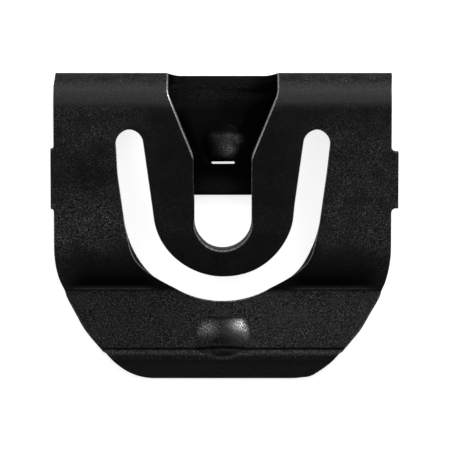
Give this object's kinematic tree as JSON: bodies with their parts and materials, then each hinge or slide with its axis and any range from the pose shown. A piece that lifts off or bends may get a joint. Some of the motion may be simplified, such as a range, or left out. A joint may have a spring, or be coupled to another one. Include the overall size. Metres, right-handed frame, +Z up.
{
  "type": "molding clip",
  "caption": "Folded spring steel clip for trim molding, with a keyhole that slides over a headed stud and a creased, nosed catch for the molding's inner flange.",
  "frame": {"origin": "middle of the clip's box, on the floor that the fold and the lip rest on", "axes": "+X across the clip, to the right with the front plate up; +Y from the lip towards the fold; +Z up"},
  "size_m": [0.0268, 0.0238, 0.0049],
  "materials": {
    "black_spring_steel": "satin black coat on spring steel, fine sparkling grain, burnished edges"
  },
  "bodies": {
    "root": {"molding_clip": "black_spring_steel"}
  },
  "joints": []
}
